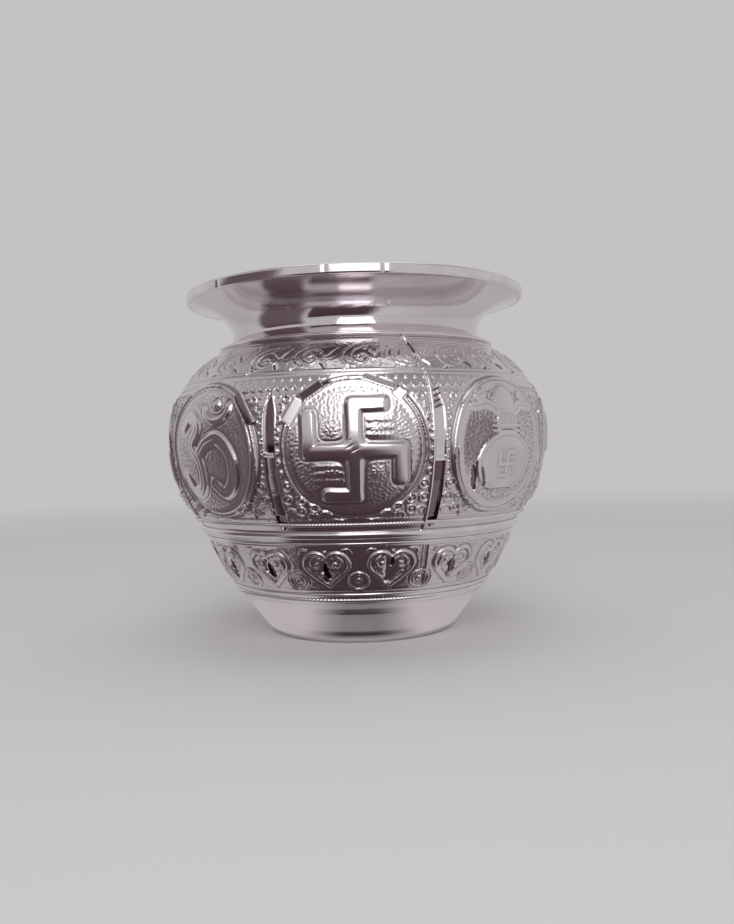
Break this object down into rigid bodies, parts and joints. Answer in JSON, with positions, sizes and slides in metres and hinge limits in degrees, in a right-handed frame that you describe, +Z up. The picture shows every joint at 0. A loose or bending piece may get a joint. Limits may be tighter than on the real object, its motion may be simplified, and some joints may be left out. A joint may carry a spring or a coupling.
{
  "type": "kalash",
  "caption": "Round silver kalash, a ritual water pot with a flared mouth, raised medallions round its belly, a frieze of hearts below and a plain conical foot.",
  "frame": {"origin": "middle of the flat base, on the surface that the pot stands on", "axes": "+Z up along the pot's axis, -Y through the medallion that faces the viewer, +X to its right"},
  "size_m": [0.08, 0.08, 0.0701],
  "materials": {
    "polished_silver": "polished",
    "chased_silver": "gloss",
    "drawn_silver": "polished"
  },
  "bodies": {
    "root": {"foot_cup": "polished_silver", "lower_body": "chased_silver", "upper_body": "chased_silver", "mouth_flare": "polished_silver", "rim_binding": "drawn_silver", "neck_collar": "drawn_silver", "joint_band": "drawn_silver", "milled_wire": "drawn_silver", "binding_wire": "drawn_silver", "lower_fine_wire": "drawn_silver", "bead_wire": "drawn_silver"}
  },
  "joints": []
}
